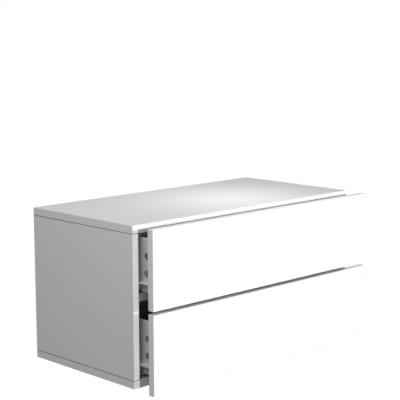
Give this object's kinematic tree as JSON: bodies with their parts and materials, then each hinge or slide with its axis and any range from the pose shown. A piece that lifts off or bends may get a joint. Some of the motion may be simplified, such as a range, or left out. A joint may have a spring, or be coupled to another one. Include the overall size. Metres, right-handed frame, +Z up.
{
  "type": "floating nightstand",
  "caption": "Wall-hung white nightstand with handleless push-to-open drawers on roller runners, hung on a wall rail by hooks inside its top corners.",
  "frame": {"origin": "middle of the wall rail's back face, in the plane of the wall", "axes": "+X to the right along the front, +Y into the wall, +Z up"},
  "size_m": [0.714, 0.4091, 0.359],
  "materials": {
    "white_board": "white foil, satin",
    "gloss_front": "white foil, gloss",
    "back_board": "white paint, matt",
    "coated_steel": "warm grey powder coat",
    "zinc_steel": "zinc plated",
    "cast_zinc": "cast, dull",
    "nylon": "moulded",
    "grey_plastic": "moulded, grey",
    "beech": "bare beech"
  },
  "bodies": {
    "carcass": {"top_panel": "white_board", "bottom_panel": "white_board", "left_side_panel": "white_board", "right_side_panel": "white_board", "back_panel": "back_board", "mid_rail": "white_board", "left_upper_front_cam": "cast_zinc", "right_upper_front_cam": "cast_zinc", "left_upper_rear_cam": "cast_zinc", "right_upper_rear_cam": "cast_zinc", "left_lower_front_cam": "cast_zinc", "right_lower_front_cam": "cast_zinc", "left_lower_rear_cam": "cast_zinc", "right_lower_rear_cam": "cast_zinc", "left_rail_cam": "cast_zinc", "right_rail_cam": "cast_zinc", "left_upper_dowel": "beech", "right_upper_dowel": "beech", "left_lower_dowel": "beech", "right_lower_dowel": "beech", "left_rail_dowel": "beech", "right_rail_dowel": "beech", "wall_rail": "zinc_steel", "left_hanger": "grey_plastic", "right_hanger": "grey_plastic", "left_hanger_hook": "zinc_steel", "right_hanger_hook": "zinc_steel", "upper_left_runner": "zinc_steel", "upper_right_runner": "zinc_steel", "lower_left_runner": "zinc_steel", "lower_right_runner": "zinc_steel", "upper_push_latch": "grey_plastic", "lower_push_latch": "grey_plastic"},
    "upper_drawer": {"upper_drawer_front": "gloss_front", "upper_drawer_left_side": "coated_steel", "upper_drawer_right_side": "coated_steel", "upper_drawer_left_bracket": "zinc_steel", "upper_drawer_right_bracket": "zinc_steel", "upper_drawer_bottom": "white_board", "upper_drawer_back": "white_board"},
    "lower_drawer": {"lower_drawer_front": "gloss_front", "lower_drawer_left_side": "coated_steel", "lower_drawer_right_side": "coated_steel", "lower_drawer_left_bracket": "zinc_steel", "lower_drawer_right_bracket": "zinc_steel", "lower_drawer_bottom": "white_board", "lower_drawer_back": "white_board"},
    "upper_plunger": {"upper_latch_plunger": "grey_plastic"},
    "lower_plunger": {"lower_latch_plunger": "grey_plastic"},
    "upper_left_front_wheel": {"upper_left_front_roller": "nylon"},
    "upper_right_front_wheel": {"upper_right_front_roller": "nylon"},
    "upper_left_rear_wheel": {"upper_left_rear_roller": "nylon"},
    "upper_right_rear_wheel": {"upper_right_rear_roller": "nylon"},
    "lower_left_front_wheel": {"lower_left_front_roller": "nylon"},
    "lower_right_front_wheel": {"lower_right_front_roller": "nylon"},
    "lower_left_rear_wheel": {"lower_left_rear_roller": "nylon"},
    "lower_right_rear_wheel": {"lower_right_rear_roller": "nylon"}
  },
  "joints": [
    {"name": "upper_drawer_slide", "type": "slide", "parent": "carcass", "child": "upper_drawer", "axis": [0, -1, 0], "range_m": [-0.0438, 0.1662]},
    {"name": "lower_drawer_slide", "type": "slide", "parent": "carcass", "child": "lower_drawer", "axis": [0, -1, 0], "range_m": [-0.0438, 0.1662]},
    {"name": "upper_plunger_press", "type": "slide", "parent": "carcass", "child": "upper_plunger", "axis": [0, -1, 0], "range_m": [-0.002, 0], "stiffness_N_per_m": 400},
    {"name": "lower_plunger_press", "type": "slide", "parent": "carcass", "child": "lower_plunger", "axis": [0, -1, 0], "range_m": [-0.002, 0], "stiffness_N_per_m": 400},
    {"name": "upper_left_front_roll", "type": "hinge", "parent": "carcass", "child": "upper_left_front_wheel", "pos_m": [-0.3346, -0.332, -0.07445], "axis": [1, 0, 0], "continuous": true},
    {"name": "upper_right_front_roll", "type": "hinge", "parent": "carcass", "child": "upper_right_front_wheel", "pos_m": [0.3346, -0.332, -0.07445], "axis": [1, 0, 0], "continuous": true},
    {"name": "lower_left_front_roll", "type": "hinge", "parent": "carcass", "child": "lower_left_front_wheel", "pos_m": [-0.3346, -0.332, -0.2544], "axis": [1, 0, 0], "continuous": true},
    {"name": "lower_right_front_roll", "type": "hinge", "parent": "carcass", "child": "lower_right_front_wheel", "pos_m": [0.3346, -0.332, -0.2544], "axis": [1, 0, 0], "continuous": true},
    {"name": "upper_left_rear_roll", "type": "hinge", "parent": "upper_drawer", "child": "upper_left_rear_wheel", "pos_m": [-0.3346, -0.1043, -0.0771], "axis": [1, 0, 0], "continuous": true},
    {"name": "upper_right_rear_roll", "type": "hinge", "parent": "upper_drawer", "child": "upper_right_rear_wheel", "pos_m": [0.3346, -0.1043, -0.0771], "axis": [1, 0, 0], "continuous": true},
    {"name": "lower_left_rear_roll", "type": "hinge", "parent": "lower_drawer", "child": "lower_left_rear_wheel", "pos_m": [-0.3346, -0.1043, -0.25705], "axis": [1, 0, 0], "continuous": true},
    {"name": "lower_right_rear_roll", "type": "hinge", "parent": "lower_drawer", "child": "lower_right_rear_wheel", "pos_m": [0.3346, -0.1043, -0.25705], "axis": [1, 0, 0], "continuous": true}
  ],
  "couplings": [
    {"joint": "upper_left_front_roll", "follows": "upper_drawer_slide", "rad_per_m": 117.65},
    {"joint": "upper_right_front_roll", "follows": "upper_drawer_slide", "rad_per_m": 117.65},
    {"joint": "upper_left_rear_roll", "follows": "upper_drawer_slide", "rad_per_m": 145.99},
    {"joint": "upper_right_rear_roll", "follows": "upper_drawer_slide", "rad_per_m": 145.99},
    {"joint": "lower_left_front_roll", "follows": "lower_drawer_slide", "rad_per_m": 117.65},
    {"joint": "lower_right_front_roll", "follows": "lower_drawer_slide", "rad_per_m": 117.65},
    {"joint": "lower_left_rear_roll", "follows": "lower_drawer_slide", "rad_per_m": 145.99},
    {"joint": "lower_right_rear_roll", "follows": "lower_drawer_slide", "rad_per_m": 145.99}
  ]
}
